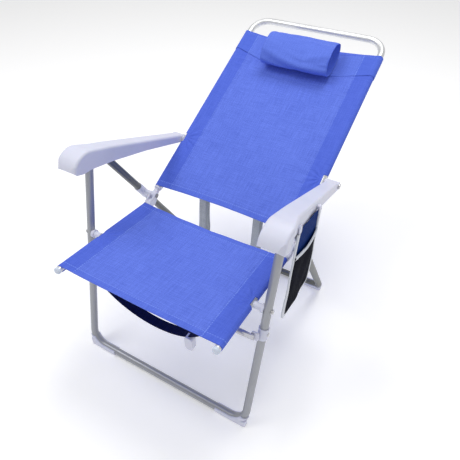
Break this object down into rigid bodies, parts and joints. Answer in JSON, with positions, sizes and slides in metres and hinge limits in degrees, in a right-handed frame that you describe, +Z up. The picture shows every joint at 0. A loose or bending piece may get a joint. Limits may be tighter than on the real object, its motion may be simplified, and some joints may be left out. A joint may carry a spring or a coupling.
{
  "type": "beach chair",
  "caption": "Tall reclining beach chair: fabric seat and back slings on a tube frame, moulded armrests, headrest pillow, side pouch and carry straps.",
  "frame": {"origin": "bottom centre of the chair's bounding box, on the floor", "axes": "+X to the left-hand side of the sitter, who faces -Y; +Z up"},
  "size_m": [0.626, 1.1055, 0.7721],
  "materials": {
    "sling_cloth": "woven",
    "pillow_cloth": "woven",
    "navy_cloth": "woven",
    "pouch_blue": "woven",
    "grey_webbing": "woven",
    "white_plastic": "matte",
    "grey_plastic": "matte",
    "steel": "satin",
    "alu_tube": "satin"
  },
  "bodies": {
    "base": {"carry_strap": "navy_cloth", "crossbar_bracket_left": "white_plastic", "crossbar_bracket_right": "white_plastic", "crossbar_rivet_left": "steel", "crossbar_rivet_right": "steel", "front_crossbar": "alu_tube", "front_leg_frame": "alu_tube", "front_plug_left": "white_plastic", "front_plug_right": "white_plastic", "front_shoe_left": "white_plastic", "front_shoe_right": "white_plastic", "hinge_fork_left": "white_plastic", "hinge_fork_right": "white_plastic", "hinge_nut_left": "steel", "hinge_nut_right": "steel", "hinge_pin_left": "steel", "hinge_pin_right": "steel", "hinge_spacer_left": "white_plastic", "hinge_spacer_right": "white_plastic", "rear_leg_frame": "alu_tube", "rear_plug_left": "white_plastic", "rear_plug_right": "white_plastic", "rear_shoe_left": "white_plastic", "rear_shoe_right": "white_plastic", "rear_sleeve_left": "white_plastic", "rear_sleeve_right": "white_plastic", "seat_cap_left": "grey_plastic", "seat_cap_right": "grey_plastic", "seat_pivot_bolt_left": "steel", "seat_pivot_bolt_right": "steel", "seat_sling": "sling_cloth", "seat_spacer_left": "white_plastic", "seat_spacer_right": "white_plastic", "seat_tube_left": "alu_tube", "seat_tube_right": "alu_tube", "strap_slider": "white_plastic"},
    "back": {"arm_bolt_left": "steel", "arm_bolt_right": "steel", "arm_washer_left": "white_plastic", "arm_washer_right": "white_plastic", "back_frame": "alu_tube", "back_sling": "sling_cloth", "back_socket_left": "white_plastic", "back_socket_right": "white_plastic", "pillow": "pillow_cloth", "pillow_band": "pillow_cloth", "shoulder_strap_left": "grey_webbing", "shoulder_strap_right": "grey_webbing"},
    "arm_left": {"armrest_left": "white_plastic", "notch_rail_left": "white_plastic"},
    "arm_right": {"armrest_right": "white_plastic", "notch_rail_right": "white_plastic", "pouch_binding": "grey_webbing", "pouch_clip_front": "white_plastic", "pouch_clip_rear": "white_plastic", "pouch_panel": "pouch_blue", "pouch_pocket": "navy_cloth"}
  },
  "joints": [
    {"name": "back_recline", "type": "hinge", "parent": "base", "child": "back", "pos_m": [0, -0.14426, 0.409], "axis": [1, 0, 0], "range_deg": [0, 38]},
    {"name": "arm_left_pivot", "type": "hinge", "parent": "back", "child": "arm_left", "pos_m": [-0.267, 0.05374, 0.5082], "axis": [1, 0, 0], "range_deg": [-27, 0]},
    {"name": "arm_right_pivot", "type": "hinge", "parent": "back", "child": "arm_right", "pos_m": [0.267, 0.05374, 0.5082], "axis": [1, 0, 0], "range_deg": [-27, 0]}
  ],
  "couplings": [
    {"joint": "arm_left_pivot", "follows": "back_recline", "ratio": -0.7},
    {"joint": "arm_right_pivot", "follows": "back_recline", "ratio": -0.7}
  ]
}
